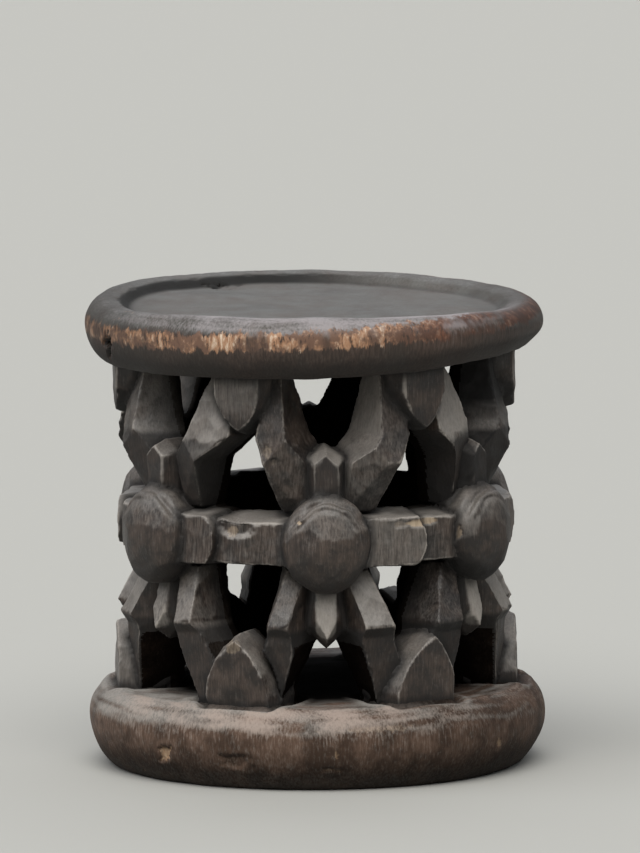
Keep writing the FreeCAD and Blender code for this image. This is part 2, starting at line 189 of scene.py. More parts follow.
# The wood: one dense hardwood log, blackened by smoke and hands to a satin skin, with dust and painted
# light on what faces up, paler fibre where an edge is rubbed, painted sheen on the rubbed rims, painted
# shade mixed into the soot, and bare cream wood where a splinter has come off
def woodMaterial(look):
    material, tree = newMaterial(look["name"])
    place = addNode(tree, "TexCoord").outputs["Object"]
    along = addNode(tree, "Mapping", {
        "Vector": place, "Scale": (1, 1, look["fibreWidth"] / look["fibreLength"])}).outputs[0]
    fibre = addNode(tree, "TexNoise", {
        "Vector": along, "Scale": 1 / mm(look["fibreWidth"]), "Detail": 4.0, "Roughness": 0.65}).outputs[0]
    patch = addNode(tree, "TexNoise", {
        "Vector": place, "Scale": 1 / mm(look["patchSize"]), "Detail": 5.0, "Roughness": 0.6}).outputs[0]
    speck = addNode(tree, "TexNoise", {
        "Vector": place, "Scale": 1 / mm(look["speckSize"]), "Detail": 4.0, "Roughness": 0.7}).outputs[0]
    wear = addNode(tree, "Attribute", attribute_name="wear").outputs["Fac"]
    dust = addNode(tree, "Attribute", attribute_name="dust").outputs["Fac"]
    bare = addNode(tree, "Attribute", attribute_name="bare").outputs["Fac"]
    soot = addNode(tree, "Attribute", attribute_name="soot").outputs["Fac"]
    patchMask = addNode(tree, "MapRange", {
        "Value": patch, "From Min": maskRange["patch"][0], "From Max": maskRange["patch"][1]},
        interpolation_type="SMOOTHSTEP").outputs[0]
    fibreMask = addNode(tree, "MapRange", {
        "Value": fibre, "From Min": maskRange["fibre"][0], "From Max": maskRange["fibre"][1],
        "To Min": look["fibreLeast"]},
        interpolation_type="SMOOTHSTEP").outputs[0]
    body = addNode(tree, "Mix", {
        0: patchMask, 6: linear(look["dark"]), 7: linear(look["middle"])}, data_type="RGBA").outputs[2]
    grained = addNode(tree, "Mix", {
        0: fibreMask, 6: linear(look["fibreDark"]), 7: body}, data_type="RGBA").outputs[2]
    scratch = addNode(tree, "Math", {0: speck, 1: speckShare, 2: fibre},
                      operation="MULTIPLY_ADD").outputs[0]
    broken = addNode(tree, "MapRange", {
        "Value": scratch, "From Min": maskRange["scratch"][0], "From Max": maskRange["scratch"][1],
        "To Min": -look["breakUp"], "To Max": look["breakUp"]}).outputs[0]
    dustAndLightSum = addNode(tree, "Math", {0: dust, 1: broken}, operation="ADD").outputs[0]
    dustAndLightMask = addNode(tree, "MapRange", {
        "Value": dustAndLightSum, "From Min": maskRange["dust"][0], "From Max": maskRange["dust"][1],
        "To Max": look["dustAndLightMost"]}).outputs[0]
    # The dust colour is also painted light: paler, greyer faces where they turn up or towards the lamps,
    # and painted sheen
    dustedAndLit = addNode(tree, "Mix", {
        0: dustAndLightMask, 6: grained, 7: linear(look["dustAndLightColour"])}, data_type="RGBA").outputs[2]
    wearAndSheenSum = addNode(tree, "Math", {0: wear, 1: broken}, operation="ADD").outputs[0]
    wearAndSheenMask = addNode(tree, "MapRange", {
        "Value": wearAndSheenSum, "From Min": maskRange["wear"][0], "From Max": maskRange["wear"][1],
        "To Max": look["wearAndSheenMost"]}).outputs[0]
    # The worn colour is real rubbed fibre on the edges, and painted sheen on the rubbed rims of the seat
    # and base and on the tails
    wornAndSheened = addNode(tree, "Mix", {
        0: wearAndSheenMask, 6: dustedAndLit, 7: linear(look["wornAndSheenColour"])}, data_type="RGBA").outputs[2]
    if "band" in look:
        wornAndSheened = rubbedBand(tree, place, wornAndSheened, look["band"])
    bareWood = addNode(tree, "Mix", {
        0: fibreMask, 6: linear(look["bareDark"]), 7: linear(look["bareLight"])},
        data_type="RGBA").outputs[2]
    bareSum = addNode(tree, "Math", {0: broken, 1: bareBreak, 2: bare}, operation="MULTIPLY_ADD").outputs[0]
    bareMask = addNode(tree, "MapRange", {
        "Value": bareSum, "From Min": maskRange["bare"][0], "From Max": maskRange["bare"][1]},
        interpolation_type="SMOOTHSTEP").outputs[0]
    bareCover = addNode(tree, "Math", {0: bareMask, 1: bare}, operation="MULTIPLY").outputs[0]
    chipped = addNode(tree, "Mix", {0: bareCover, 6: wornAndSheened, 7: bareWood}, data_type="RGBA").outputs[2]
    # The soot colour is real smoke and also painted shade: in the hollow of the drum, in the creases, under
    # the seat and on what faces down
    sootedAndShaded = addNode(tree, "Mix", {
        0: soot, 6: chipped, 7: linear(look["sootAndShadeColour"])}, data_type="RGBA").outputs[2]
    satin = addNode(tree, "MapRange", {
        "Value": patch, "From Min": maskRange["satin"][0], "From Max": maskRange["satin"][1],
        "To Min": look["roughness"][0], "To Max": look["roughness"][1]}).outputs[0]
    roughness = addNode(tree, "Math", {0: soot, 1: look["sootRough"], 2: satin},
                        operation="MULTIPLY_ADD", use_clamp=True).outputs[0]
    bump = addNode(tree, "Bump", {
        "Height": scratch, "Strength": 1.0, "Distance": mm(look["relief"])}).outputs[0]
    shader = addNode(tree, "BsdfPrincipled", {
        "Base Color": sootedAndShaded, "Roughness": roughness, "Normal": bump, "IOR": 1.5,
        "Specular IOR Level": look["gloss"]})
    addNode(tree, "OutputMaterial", {"Surface": shader.outputs[0]})
    return material


bandRange = {"ragged": (0.3, 0.7), "lost": (0.36, 0.48), "pale": (0.43, 0.58), "cream": (0.5, 0.72),
             "gap": (0.5, 0.34)}


# The rubbed band round the seat's edge: bare fibres, cream and red brown, ragged above and below, higher
# towards the right
def rubbedBand(tree, place, colour, band):
    axes = addNode(tree, "SeparateXYZ", {0: place}).outputs
    flat = addNode(tree, "Mapping", {"Vector": place, "Scale": (1, 1, 0)}).outputs[0]
    radius = addNode(tree, "VectorMath", {0: flat}, operation="LENGTH").outputs["Value"]
    rim = addNode(tree, "MapRange", {
        "Value": radius, "From Min": mm(band["inner"] - band["innerFade"]),
        "From Max": mm(band["inner"] + band["innerFade"])}).outputs[0]
    ragged = addNode(tree, "TexNoise", {
        "Vector": flat, "Scale": 1 / mm(band["ragged"]), "Detail": 6.0, "Roughness": 0.8}).outputs[0]
    swing = addNode(tree, "MapRange", {
        "Value": ragged, "From Min": bandRange["ragged"][0], "From Max": bandRange["ragged"][1],
        "To Min": -mm(band["swing"]), "To Max": mm(band["swing"])}).outputs[0]
    height = addNode(tree, "Math", {0: axes[2], 1: swing}, operation="ADD").outputs[0]
    fade = mm(band["fade"])
    low = addNode(tree, "Math", {0: axes[0], 1: band["lowLean"], 2: mm(band["low"])},
                  operation="MULTIPLY_ADD").outputs[0]
    high = addNode(tree, "Math", {0: axes[0], 1: band["highLean"], 2: mm(band["high"])},
                   operation="MULTIPLY_ADD").outputs[0]
    overLow = addNode(tree, "Math", {0: height, 1: low}, operation="SUBTRACT").outputs[0]
    underHigh = addNode(tree, "Math", {0: high, 1: height}, operation="SUBTRACT").outputs[0]
    above = addNode(tree, "MapRange", {
        "Value": overLow, "From Min": -fade, "From Max": fade},
        interpolation_type="SMOOTHSTEP").outputs[0]
    below = addNode(tree, "MapRange", {
        "Value": underHigh, "From Min": -fade, "From Max": fade},
        interpolation_type="SMOOTHSTEP").outputs[0]
    strip = addNode(tree, "Math", {0: above, 1: below}, operation="MULTIPLY").outputs[0]
    lost = addNode(tree, "TexNoise", {
        "Vector": flat, "Scale": 1 / mm(band["lost"]), "Detail": 3.0, "Roughness": 0.6}).outputs[0]
    kept = addNode(tree, "MapRange", {
        "Value": lost, "From Min": bandRange["lost"][0], "From Max": bandRange["lost"][1],
        "To Min": band["lostLeast"]},
        interpolation_type="SMOOTHSTEP").outputs[0]
    around = addNode(tree, "Math", {0: rim, 1: kept}, operation="MULTIPLY").outputs[0]
    mask = addNode(tree, "Math", {0: strip, 1: around}, operation="MULTIPLY").outputs[0]
    along = addNode(tree, "Mapping", {"Vector": place, "Scale": (1, 1, band["stretch"])}).outputs[0]
    streak = addNode(tree, "TexNoise", {
        "Vector": along, "Scale": 1 / mm(band["streak"]), "Detail": 5.0, "Roughness": 0.7}).outputs[0]
    share = addNode(tree, "TexNoise", {
        "Vector": place, "Scale": 1 / mm(band["patch"]), "Detail": 5.0, "Roughness": 0.65}).outputs[0]
    redMask = addNode(tree, "MapRange", {
        "Value": axes[0], "From Min": mm(band["redFrom"]), "From Max": mm(band["redTo"])}).outputs[0]
    pale = addNode(tree, "MapRange", {
        "Value": share, "From Min": bandRange["pale"][0], "From Max": bandRange["pale"][1]},
        interpolation_type="SMOOTHSTEP").outputs[0]
    creamMask = addNode(tree, "MapRange", {
        "Value": streak, "From Min": bandRange["cream"][0], "From Max": bandRange["cream"][1]},
        interpolation_type="SMOOTHSTEP").outputs[0]
    creamMost = addNode(tree, "MapRange", {
        "Value": redMask, "To Min": 1.0, "To Max": band["creamRight"]}).outputs[0]
    creamSpots = addNode(tree, "Math", {0: creamMask, 1: pale}, operation="MULTIPLY").outputs[0]
    creamShare = addNode(tree, "Math", {0: creamSpots, 1: creamMost}, operation="MULTIPLY").outputs[0]
    darkMask = addNode(tree, "MapRange", {
        "Value": streak, "From Min": bandRange["gap"][0], "From Max": bandRange["gap"][1]},
        interpolation_type="SMOOTHSTEP").outputs[0]
    side = addNode(tree, "Mix", {
        0: redMask, 6: linear(band["orange"]), 7: linear(band["red"])}, data_type="RGBA").outputs[2]
    plain = addNode(tree, "Mix", {
        0: redMask, 6: linear(band["brown"]), 7: linear(band["redDark"])}, data_type="RGBA").outputs[2]
    rubbed = addNode(tree, "Mix", {0: pale, 6: plain, 7: side}, data_type="RGBA").outputs[2]
    lit = addNode(tree, "Mix", {
        0: creamShare, 6: rubbed, 7: linear(band["cream"])}, data_type="RGBA").outputs[2]
    lined = addNode(tree, "Mix", {
        0: darkMask, 6: lit, 7: linear(band["gap"])}, data_type="RGBA").outputs[2]
    return addNode(tree, "Mix", {0: mask, 6: colour, 7: lined}, data_type="RGBA").outputs[2]


# In each look the dust colour also paints light and sheen, the worn colour also paints sheen, and the soot
# colour also paints shade
seatWood = {
    "name": "smoked_hardwood_polished_seat",
    "dark": "#3a2f27", "middle": "#513f35", "fibreDark": "#2b2019", "fibreLeast": 0.25,
    "dustAndLightColour": "#646561", "dustAndLightMost": 0.75, "wornAndSheenColour": "#979090", "wearAndSheenMost": 0.9,
    "bareDark": "#7d573c", "bareLight": "#c9ab8c", "sootAndShadeColour": "#0e0c0a", "sootRough": 0.35,
    "fibreWidth": 1.7, "fibreLength": 20, "patchSize": 55, "speckSize": 4.5, "breakUp": 0.3,
    "roughness": (0.42, 0.58), "relief": 0.4, "gloss": 0.5,
    "band": {"low": 368.5, "high": 383.5, "lowLean": 0.035, "highLean": 0.045, "fade": 1.0,
             "inner": 176, "innerFade": 4, "ragged": 9, "swing": 5.5, "streak": 3.4, "stretch": 0.25,
             "patch": 15, "redFrom": 40, "redTo": 110, "lost": 32, "lostLeast": 0.3, "creamRight": 0.25,
             "brown": "#735645", "orange": "#ad8262", "red": "#643d2b", "redDark": "#4c3023",
             "cream": "#e6d2ba", "gap": "#3c2e26"},
}
openworkWood = {
    "name": "smoked_hardwood_adze_carved",
    "dark": "#1f1712", "middle": "#4b3e35", "fibreDark": "#1c1511", "fibreLeast": 0.45,
    "dustAndLightColour": "#918b84", "dustAndLightMost": 0.9, "wornAndSheenColour": "#a9a198", "wearAndSheenMost": 0.75,
    "bareDark": "#7d6148", "bareLight": "#bba88f", "sootAndShadeColour": "#0a0604", "sootRough": 0.35,
    "fibreWidth": 1.5, "fibreLength": 14, "patchSize": 17, "speckSize": 4, "breakUp": 0.25,
    "roughness": (0.36, 0.6), "relief": 0.4, "gloss": 0.6,
}
baseWood = {
    "name": "smoked_hardwood_rubbed_base",
    "dark": "#45372e", "middle": "#725d50", "fibreDark": "#3d2c21", "fibreLeast": 0.5,
    "dustAndLightColour": "#9a9791", "dustAndLightMost": 0.85, "wornAndSheenColour": "#ab998d", "wearAndSheenMost": 0.75,
    "bareDark": "#93623f", "bareLight": "#c3a88a", "sootAndShadeColour": "#070504", "sootRough": 0.35,
    "fibreWidth": 1.7, "fibreLength": 9, "patchSize": 22, "speckSize": 5, "breakUp": 0.36,
    "roughness": (0.48, 0.62), "relief": 0.5, "gloss": 0.15,
}
woodLooks = {"seat_wood": seatWood, "openwork_wood": openworkWood, "base_wood": baseWood}
mattFinish = {"gloss": 0.04, "roughness": (0.9, 1.0)}   # matt where soot and painted shade lie thick inside the drum
woods = {slot: woodMaterial(look) for slot, look in woodLooks.items()}
mattWoods = {slot: woodMaterial({**look, **mattFinish, "name": look["name"] + "_sooted"})
         for slot, look in woodLooks.items()}
print("woods mixed:", ", ".join(woods))


# Hand carving: grid is the mesh spacing, cell and cut the size and depth of an adze mark (all mm), level
# the part of a mark that lies under the skin, and chipFrom the noise at which an edge starts to be chipped
discCarving = {"grid": 2.2, "soften": 3, "cell": 30, "cut": 0.6, "level": 0.35,
               "chip": 0.8, "chipSize": 10, "chipFrom": (0.05, 0.4)}
drumCarving = {"grid": 1.35, "soften": 1, "cell": 15, "cut": 1.4, "level": 0.35,
               "chip": 0.9, "chipSize": 9, "chipFrom": (0.05, 0.4)}
edgeBend = (0.02, 0.12)     # bend of the skin between which an edge or a hollow shows, mm
crestBend = (0.03, 0.14)    # and between which an edge is rubbed
bendSoften = 2
rooting = {"near": 0.05, "base": 6.0, "seat": 3.0}   # how far feet and tops go into the discs, mm
# Where elements touch: the skin goes this deep into its neighbour, and painted shade in the crease lies
# this far from it (mm)
contact = {"depth": 2.0, "near": 0.6, "far": 1.8, "facing": -0.2, "soften": 2, "shadeReach": 9.0}
# Shifts that make each cloud of noise another one
cloudShift = {"chip": 3.0, "baseStreak": 5.0, "seatStreak": 9.0, "blotch": 11.0, "lipWander": 17.0,
              "scar": 23.0, "lipUneven": 27.0, "scarFine": 29.0, "dish": 31.0}


def smoothStep(value, low, high):
    share = np.clip((value - low) / (high - low), 0, 1)
    return share * share * (3 - 2 * share)


def mergedForm(node):
    form = bmesh.new()
    form.from_mesh(node.data)
    bmesh.ops.remove_doubles(form, verts=form.verts, dist=1e-5)
    return form


trees = {}
for name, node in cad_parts.items():
    form = mergedForm(node)
    trees[name] = BVHTree.FromBMesh(form)
    form.free()
boxes = {name: np.array(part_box(name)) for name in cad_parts}


# A copy of a node on an even grid. Its feet and tops first go a little way into the discs
def remeshedCopy(name, grid):
    form = mergedForm(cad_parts[name])
    if name not in ("seat", "base"):
        for vert in form.verts:
            if abs(vert.co.z - boxes["base"][1][2]) < mm(rooting["near"]):
                vert.co.z -= mm(rooting["base"])
            elif abs(vert.co.z - boxes["seat"][0][2]) < mm(rooting["near"]):
                vert.co.z += mm(rooting["seat"])
    rough = bpy.data.meshes.new(name + "_rough")
    form.to_mesh(rough)
    form.free()
    block = bpy.data.objects.new(name + "_rough", rough)
    scene.collection.objects.link(block)
    grating = block.modifiers.new("grid", "REMESH")
    grating.mode = "VOXEL"
    grating.voxel_size = mm(grid)
    ready = block.evaluated_get(bpy.context.evaluated_depsgraph_get())
    mesh = bpy.data.meshes.new_from_object(ready)
    bpy.data.objects.remove(block)
    bpy.data.meshes.remove(rough)
    mesh.name = name
    return mesh


def readPoints(mesh):
    points = np.empty(3 * len(mesh.vertices))
    mesh.vertices.foreach_get("co", points)
    return points.reshape(-1, 3)


def readNormals(mesh, points):
    mesh.vertices.foreach_set("co", points.ravel())
    mesh.update()
    normals = np.empty(3 * len(mesh.vertices))
    mesh.vertices.foreach_get("normal", normals)
    return normals.reshape(-1, 3)


class Neighbours:
    def __init__(self, mesh):
        pairs = np.empty(2 * len(mesh.edges), dtype=np.int64)
        mesh.edges.foreach_get("vertices", pairs)
        self.start, self.end = pairs.reshape(-1, 2).T
        self.count = len(mesh.vertices)
        self.valence = np.bincount(pairs, minlength=self.count).astype(float)

    def mean(self, values):
        if values.ndim == 2:
            return np.stack([self.mean(column) for column in values.T], axis=1)
        total = np.bincount(self.start, values[self.end], self.count)
        total += np.bincount(self.end, values[self.start], self.count)
        return total / self.valence

    def soften(self, values, times):
        for _ in range(times):
            values = 0.5 * values + 0.5 * self.mean(values)
        return values


# One element on the bench: its mesh, and which points of its skin lie side by side
class Element:
    def __init__(self, name, style):
        self.name = name
        self.style = style
        self.mesh = remeshedCopy(name, style["grid"])
        self.links = Neighbours(self.mesh)
        self.points = self.links.soften(readPoints(self.mesh), style["soften"])


def touchingDistance(name, points, normals, reach):
    nearest = np.full(len(points), reach)
    facing = np.zeros(len(points))
    low, high = boxes[name]
    for other, tree in trees.items():
        otherLow, otherHigh = boxes[other]
        if other == name or np.any(otherLow > high + reach) or np.any(otherHigh < low - reach):
            continue
        inside = np.all((points > otherLow - reach) & (points < otherHigh + reach), axis=1)
        for i in np.nonzero(inside)[0]:
            spot, normal, _, distance = tree.find_nearest(Vector(points[i]), reach)
            if spot is not None and distance < nearest[i]:
                nearest[i] = distance
                facing[i] = normal.dot(Vector(normals[i]))
    return nearest, facing


def adzeMarks(points, cell):
    size = mm(cell)
    return np.array([noise.voronoi(Vector(p) / size)[0][0] for p in points]) ** 2


def cloudNoise(points, size, shift=0.0):
    offset = Vector((shift, 2.3 * shift, -1.7 * shift))
    return np.array([noise.noise(Vector(p) / mm(size) + offset) for p in points])


def storeField(mesh, name, values):
    field = mesh.attributes.new(name, "FLOAT", "POINT")
    field.data.foreach_set("value", np.clip(values, 0, 1).astype(np.float32))


# Slow waves of the hand-cut block, wide and small: their size and how far they reach (mm)
handWarp = {"size": 95, "reach": 1.6, "shifts": (0.0, 19.0, 41.0),
            "smallSize": 32, "smallReach": 0.7, "smallShift": 7}
# The seat isn't level: the heights between which it starts to be uneven, and how far its underside and its
# top go up (mm). Each side's pair says where that starts and where it is full, in half widths of the seat
seatWarp = {"foot": 300, "seat": 344, "crown": 376, "half": 190, "standing": 20,
            "underRight": 6.0, "underLeft": -4.0, "topBackLeft": 3.0, "topRight": -3.0, "topFront": 4.5,
            "right": (-0.1, 1.0), "left": (0.0, 1.0), "back": (-0.3, 0.6), "front": (0.3, 0.8)}


# The same slow wander moves every piece, so neighbours still meet where they met
def handWander(points):
    moved = points.copy()
    for axis, shift in enumerate(handWarp["shifts"]):
        smallShift = shift + handWarp["smallShift"]
        moved[:, axis] += mm(handWarp["reach"]) * cloudNoise(points, handWarp["size"], shift)
        moved[:, axis] += mm(handWarp["smallReach"]) * cloudNoise(points, handWarp["smallSize"], smallShift)
    x, y, z = points.T
    across, along = x / mm(seatWarp["half"]), y / mm(seatWarp["half"])
    rising = smoothStep(z, mm(seatWarp["foot"]), mm(seatWarp["seat"]))
    crown = smoothStep(z, mm(seatWarp["seat"]), mm(seatWarp["crown"]))
    right = smoothStep(across, *seatWarp["right"])
    left = smoothStep(-across, *seatWarp["left"])
    backLeft = left * smoothStep(along, *seatWarp["back"])
    front = smoothStep(-along, *seatWarp["front"])
    under = seatWarp["underRight"] * right + seatWarp["underLeft"] * left
    top = seatWarp["topBackLeft"] * backLeft + seatWarp["topRight"] * right + seatWarp["topFront"] * front
    moved[:, 2] += mm(1) * rising * ((1 - crown) * under + crown * top)
    standing = smoothStep(z, 0.0, mm(seatWarp["standing"]))
    moved[:, 2] = z + (moved[:, 2] - z) * standing
    return moved


spiderAzimuths = (3, 58, 122, 182, 239, 304)   # degrees from the front towards the right
# Flat cuts with a knife on each leg: three points of the plane, as offset from the spider's middle, radius
# and height (mm). The upper knees are pared on the window's side, the thighs chamfered towards the tail
knifeCuts = {
    "upper": ((35, 158, 287), (53, 158.3, 269), (20, 146, 232)),
    "lower": ((15, 143, 175), (33, 163.5, 131), (21, 148.5, 131)),
}
# A leg whose knee was carved off its place: how far to the right, and about which height (mm)
kneeShift = {"spider_2_upper_left_leg": {"aside": 7.5, "at": 280, "half": 70}}
# A pendant on the base that leans to the left: azimuth and half width in degrees, the lean of its top in mm
pendantLean = {"towards": -26.5, "half": 18, "aside": -12}


# The directions of a spider: to its right in the photograph's sense, outward and up
def spiderAxes(name):
    turn = math.radians(spiderAzimuths[int(name.split("_")[1]) - 1])
    right = [math.cos(turn), math.sin(turn), 0]
    outward = [math.sin(turn), -math.cos(turn), 0]
    return np.array([right, outward, [0, 0, 1]])


def pared(name, points):
    axes = spiderAxes(name)
    part = "upper" if "_upper_" in name else "lower"
    if name.endswith("_left_leg"):
        axes[0] = -axes[0]
    first, second, third = mm(np.array(knifeCuts[part]))
    facing = np.cross(second - first, third - first)
    facing *= np.sign(facing[1]) / np.linalg.norm(facing)
    over = np.maximum((points @ axes.T - first) @ facing, 0)
    return points - over[:, None] * (facing @ axes)


# The knife's cuts, the knee that is off its place and the pendant that leans
def shapeByHand(piece):
    name, points = piece.name, piece.points
    if "_upper_" in name or "_lower_" in name:
        points = piece.links.soften(pared(name, points), 1)
    if name in kneeShift:
        move = kneeShift[name]
        share = np.maximum(1 - ((points[:, 2] - mm(move["at"])) / mm(move["half"])) ** 2, 0)
        points += mm(move["aside"]) * share[:, None] * spiderAxes(name)[0]
    if name == "base_pendants":
        turn = np.degrees(np.arctan2(points[:, 0], -points[:, 1])) - pendantLean["towards"]
        low, high = boxes["base"][1][2], boxes[name][1][2]
        rise = np.clip((points[:, 2] - low) / (high - low), 0, 1)
        points[:, 0] += mm(pendantLean["aside"]) * rise * (np.abs(turn) < pendantLean["half"])
    piece.points = points


# The edge of a scar, in its half sizes, and the size of its raggedness (mm)
scarEdge = {"reach": 1.7, "fade": (0.6, 1.0), "ragged": 0.6, "size": 6, "fineSize": 2.6}


# A scar is a chip, check or scuff: its middle, its half sizes, how deep, and how bare or dark (all mm)
def scarFields(points, scars):
    depth, bare, dark = np.zeros((3, len(points)))
    for scar in scars:
        middle, half = mm(np.array(scar["at"])), mm(np.array(scar["half"]))
        apart = np.linalg.norm((points - middle) / half, axis=1)
        near = np.nonzero(apart < scarEdge["reach"])[0]
        coarse = cloudNoise(points[near], scarEdge["size"], cloudShift["scar"])
        fine = cloudNoise(points[near], scarEdge["fineSize"], cloudShift["scarFine"])
        ragged = scar.get("ragged", 1) * scarEdge["ragged"]
        share = 1 - smoothStep(apart[near] * (1 + ragged * (coarse + fine)), *scarEdge["fade"])
        depth[near] = np.maximum(depth[near], mm(scar["depth"]) * share)
        bare[near] = np.maximum(bare[near], scar.get("bare", 0) * share)
        dark[near] = np.maximum(dark[near], scar.get("dark", 0) * share)
    return depth, bare, dark


# Crescents over a body: how far out they lie, in its half size, how deep (mm) and how wide
bodyLip = {"insets": (0.87, 0.70), "depths": (2.8, 0.8), "width": 0.045, "upper": (0.3, 0.6),
           "facing": (0.05, 0.35), "wander": 0.05, "wanderSize": 14, "uneven": 0.7, "unevenSize": 18}


# Two shallow crescents cut over the upper part of a spider's body
def lipCut(points, normals):
    middle = 0.5 * (points.min(axis=0) + points.max(axis=0))
    outward = np.array([middle[0], middle[1], 0]) / math.hypot(middle[0], middle[1])
    across = np.array([-outward[1], outward[0], 0])
    offset = points - middle
    wide, tall = offset @ across, offset[:, 2]
    ring = np.hypot(wide / np.abs(wide).max(), tall / np.abs(tall).max())
    ring += bodyLip["wander"] * cloudNoise(points, bodyLip["wanderSize"], cloudShift["lipWander"])
    upper = smoothStep(tall / np.maximum(np.hypot(wide, tall), 1e-6), *bodyLip["upper"])
    facing = smoothStep(normals @ outward, *bodyLip["facing"])
    cut = np.zeros(len(points))
    for inset, depth in zip(bodyLip["insets"], bodyLip["depths"]):
        cut += mm(depth) * np.exp(-((ring - inset) / bodyLip["width"]) ** 2)
    uneven = bodyLip["uneven"] * cloudNoise(points, bodyLip["unevenSize"], cloudShift["lipUneven"])
    return cut * upper * facing * (1 + uneven)


# Cut round the feet on the base (mm): a scoop, and a lip round it, each over a share of the reach
footScoop = {"reach": 17.0, "depth": 3.0, "scoopEnd": (0.15, 0.6), "level": (0.6, 0.9),
             "lip": 1.3, "lipStart": (0.42, 0.62), "lipEnd": (0.7, 0.98)}
facingUp = (0.0, 0.5)


# Adze marks, chips, scars, scoops and the hand's wander, and how the finished skin lies
def cutSkin(piece, scars):
    name, style, links, points = piece.name, piece.style, piece.links, piece.points
    normals = readNormals(piece.mesh, points)
    reach = mm(footScoop["reach"] if name == "base" else contact["shadeReach"])
    piece.nearest, facing = touchingDistance(name, points, normals, reach)
    touching = 1 - smoothStep(piece.nearest, mm(contact["near"]), mm(contact["far"]))
    hidden = links.soften(touching * (facing < contact["facing"]), contact["soften"])
    shown = 1 - hidden
    points += normals * (hidden * mm(contact["depth"]))[:, None]
    bend = links.soften(np.sum((links.mean(points) - points) * normals, axis=1), bendSoften)
    edge = smoothStep(-bend, *mm(np.array(edgeBend))) * shown
    piece.hollow = smoothStep(bend, *mm(np.array(edgeBend))) * shown
    piece.crest = smoothStep(-bend, *mm(np.array(crestBend))) * shown
    marks = mm(style["cut"]) * (adzeMarks(points, style["cell"]) - style["level"])
    chips = smoothStep(cloudNoise(points, style["chipSize"], cloudShift["chip"]), *style["chipFrom"]) * edge
    scarDepth, piece.bare, piece.dark = scarFields(points, scars)
    depth = marks - mm(style["chip"]) * chips - scarDepth
    piece.lip = np.zeros(len(points))
    if name == "base":
        share = piece.nearest / reach
        level = smoothStep(normals[:, 2], *footScoop["level"])
        lip = smoothStep(share, *footScoop["lipStart"]) * (1 - smoothStep(share, *footScoop["lipEnd"]))
        piece.lip = lip * level
        scoop = (1 - smoothStep(share, *footScoop["scoopEnd"])) * level
        depth += mm(footScoop["lip"]) * piece.lip - mm(footScoop["depth"]) * scoop
    if name.endswith("_body"):
        depth -= lipCut(points, normals)
    points += normals * (depth * shown)[:, None]
    points = handWander(points)
    points[:, 2] = np.maximum(points[:, 2], cadBox[0][2])
    piece.points = points
    piece.normals = readNormals(piece.mesh, points)
    piece.radius = np.hypot(points[:, 0], points[:, 1])
    away = np.sum(piece.normals[:, :2] * points[:, :2], axis=1)
    piece.outward = away / np.maximum(piece.radius, 1e-6)
    piece.upward = smoothStep(piece.normals[:, 2], *facingUp)


# Streaks that run round the log, for the tops of the discs: their width and length (mm)
def ringStreaks(points, look, shift):
    radius = np.hypot(points[:, 0], points[:, 1])
    around = points[:, :2] / np.maximum(radius, 1e-6)[:, None] * mm(look["ring"]) / mm(look["long"])
    across = (radius - points[:, 2]) / mm(look["wide"])
    return cloudNoise(mm(1) * np.column_stack([around, across]), 1, shift)


def azimuthShare(points, rub):
    turn = np.arctan2(points[:, 0], -points[:, 1]) - math.radians(rub["towards"])
    return rub["least"] + (1 - rub["least"]) * (0.5 + 0.5 * np.cos(turn)) ** rub["sharp"]


# The base: heights of its rubbed upper edge, with painted sheen, and of its dusty foot, painted lighter
# (mm). It is rubbed and dusty, with painted sheen and light, most on the side at an azimuth in degrees from
# the front towards the right, and darker from one x to another (mm)
baseRubAndSheen = {"low": 38, "high": 60, "facing": (0.05, 0.4), "towards": -12, "least": 0.15, "sharp": 7,
           "usual": 0.72, "patchy": 1.0, "streaky": 0.8}
baseDustAndLight = {"towards": -75, "least": 0.3, "sharp": 1, "usual": 0.1, "patchy": 0.4, "streaky": 1.7,
            "fall": 2.7, "foot": 0.35, "footHigh": 26}
baseStreaks = {"wide": 7, "long": 32, "ring": 170}
baseRightDarkening = {"most": 0.26, "from": 20, "to": 130}


def toneBase(piece, wear, blotch):
    points = piece.points
    streaks = ringStreaks(points, baseStreaks, cloudShift["baseStreak"])
    # The rubbed upper edge also carries painted sheen, and the dust painted light
    rub = smoothStep(points[:, 2], mm(baseRubAndSheen["low"]), mm(baseRubAndSheen["high"]))
    rub *= smoothStep(piece.outward, *baseRubAndSheen["facing"]) * azimuthShare(points, baseRubAndSheen)
    rub *= baseRubAndSheen["usual"] + baseRubAndSheen["patchy"] * blotch + baseRubAndSheen["streaky"] * streaks
    clean = baseDustAndLight["fall"] * (1 - azimuthShare(points, baseDustAndLight))
    blotch = baseDustAndLight["patchy"] * blotch + baseDustAndLight["streaky"] * streaks - clean + baseDustAndLight["usual"]
    foot = baseDustAndLight["foot"] * (1 - smoothStep(points[:, 2], 0, mm(baseDustAndLight["footHigh"])))
    # Darker towards the right
    piece.grime = baseRightDarkening["most"] * smoothStep(points[:, 0], mm(baseRightDarkening["from"]), mm(baseRightDarkening["to"]))
    return np.maximum(wear, rub), blotch, foot


# The seat: heights and radii of its rubbed crest with painted sheen (mm), dust and painted sheen in the
# dish, darkening at the sides, and painted shade on the left wall of the dish, from one x to another (mm)
rimRubAndSheen = {"low": 374, "high": 384, "inner": 154, "outer": 164, "towards": 16, "least": 0.15, "sharp": 3,
          "usual": 0.85, "patchy": 0.5, "streaky": 0.6}
rimStreaks = {"wide": 4, "long": 60, "ring": 170}
dishDustAndSheen = {"usual": -0.1, "patchy": 0.6, "fine": 0.5, "fineSize": 9}
rimSideDarkening = {"most": 0.4, "from": 110, "to": 185}
wallShade = {"most": 0.95, "facing": (0.15, 0.5), "from": -30, "to": 90}


